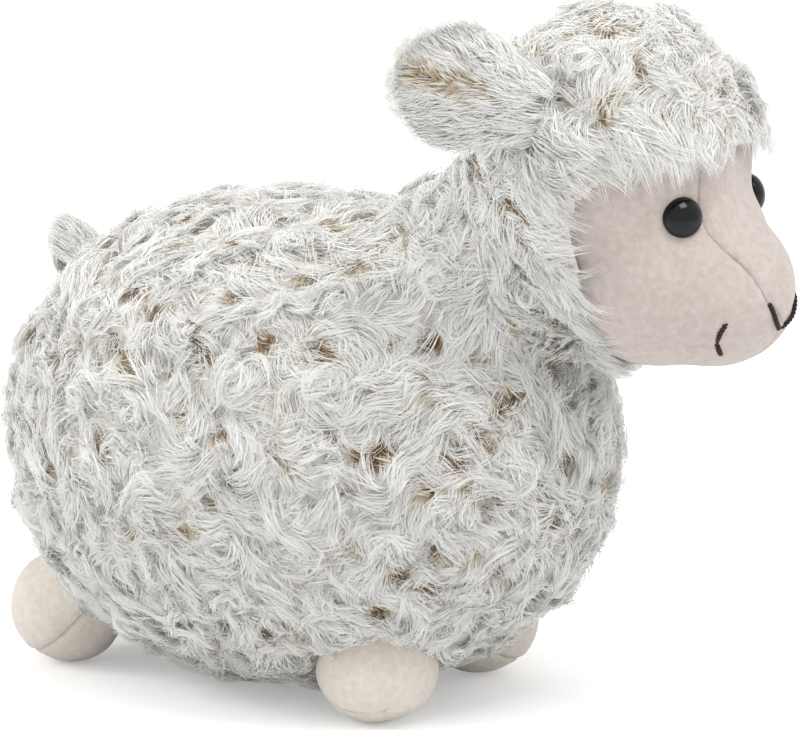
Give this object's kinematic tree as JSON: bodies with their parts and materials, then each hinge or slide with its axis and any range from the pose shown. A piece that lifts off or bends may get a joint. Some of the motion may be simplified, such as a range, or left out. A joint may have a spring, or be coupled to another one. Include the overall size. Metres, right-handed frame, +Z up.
{
  "type": "plush sheep",
  "caption": "Standing plush sheep with a round curly-fur body and hood, a smooth face with domed eyes and stitched nose and mouth, soft ears, a tail and stub legs that give when pushed.",
  "frame": {"origin": "on the floor, under the middle of the toy's box", "axes": "+X along the toy towards its nose, +Y to its left, +Z up"},
  "size_m": [0.2542, 0.153, 0.216],
  "materials": {
    "fur_cloth": "curly pile",
    "nap_cloth": "short nap",
    "filling": "loose fibre",
    "eye": "glossy",
    "washer": "matte",
    "thread": "twisted thread"
  },
  "bodies": {
    "torso": {"belly_panel": "fur_cloth", "body_panel_left": "fur_cloth", "body_panel_right": "fur_cloth", "body_stuffing": "filling"},
    "neck": {"neck_stuffing": "filling"},
    "head": {"hood_left": "fur_cloth", "hood_right": "fur_cloth", "face_gusset": "nap_cloth", "cheek_left": "nap_cloth", "cheek_right": "nap_cloth", "head_stuffing": "filling", "nose_stitch": "thread", "mouth_stitch_right": "thread", "mouth_stitch_left": "thread", "eye_right": "eye", "eye_left": "eye", "eye_washer_right": "washer", "eye_washer_left": "washer"},
    "ear_right": {"ear_right_back": "fur_cloth", "ear_right_front": "fur_cloth"},
    "ear_left": {"ear_left_front": "fur_cloth", "ear_left_back": "fur_cloth"},
    "tail": {"tail_under": "fur_cloth", "tail_upper": "fur_cloth"},
    "leg_front_right": {"front_right_foot_upper": "nap_cloth", "front_right_foot_sole": "nap_cloth", "front_right_stuffing": "filling"},
    "leg_front_left": {"front_left_foot_upper": "nap_cloth", "front_left_foot_sole": "nap_cloth", "front_left_stuffing": "filling"},
    "leg_back_right": {"back_right_foot_upper": "nap_cloth", "back_right_foot_sole": "nap_cloth", "back_right_stuffing": "filling"},
    "leg_back_left": {"back_left_foot_upper": "nap_cloth", "back_left_foot_sole": "nap_cloth", "back_left_stuffing": "filling"}
  },
  "joints": [
    {"name": "head_turn", "type": "hinge", "parent": "torso", "child": "neck", "pos_m": [0.0716, 0, 0.1712], "axis": [0.7431, 0, 0.6691], "range_deg": [-20, 20], "stiffness_Nm_per_rad": 0.5},
    {"name": "head_nod", "type": "hinge", "parent": "neck", "child": "head", "pos_m": [0.0716, 0, 0.1712], "axis": [0, 1, 0], "range_deg": [-12, 6], "stiffness_Nm_per_rad": 0.5},
    {"name": "ear_right_swing", "type": "hinge", "parent": "head", "child": "ear_right", "pos_m": [0.0716, -0.03775, 0.19179], "axis": [0.1496, 0.1444, 0.9781], "range_deg": [-12, 25], "stiffness_Nm_per_rad": 0.03},
    {"name": "ear_left_swing", "type": "hinge", "parent": "head", "child": "ear_left", "pos_m": [0.0716, 0.03775, 0.19179], "axis": [0.1862, -0.1798, -0.9659], "range_deg": [-12, 25], "stiffness_Nm_per_rad": 0.03},
    {"name": "tail_lift", "type": "hinge", "parent": "torso", "child": "tail", "pos_m": [-0.10952, 0, 0.1144], "axis": [0, 1, 0], "range_deg": [-25, 10], "stiffness_Nm_per_rad": 0.03},
    {"name": "front_right_leg_swing", "type": "hinge", "parent": "torso", "child": "leg_front_right", "pos_m": [-0.00143, -0.01732, 0.03094], "axis": [0, 1, 0], "range_deg": [-10, 10], "stiffness_Nm_per_rad": 0.6},
    {"name": "front_left_leg_swing", "type": "hinge", "parent": "torso", "child": "leg_front_left", "pos_m": [-0.00143, 0.01732, 0.03094], "axis": [0, 1, 0], "range_deg": [-10, 10], "stiffness_Nm_per_rad": 0.6},
    {"name": "back_right_leg_swing", "type": "hinge", "parent": "torso", "child": "leg_back_right", "pos_m": [-0.08836, -0.01749, 0.03474], "axis": [0, 1, 0], "range_deg": [-10, 10], "stiffness_Nm_per_rad": 0.6},
    {"name": "back_left_leg_swing", "type": "hinge", "parent": "torso", "child": "leg_back_left", "pos_m": [-0.08836, 0.01749, 0.03474], "axis": [0, 1, 0], "range_deg": [-10, 10], "stiffness_Nm_per_rad": 0.6}
  ]
}
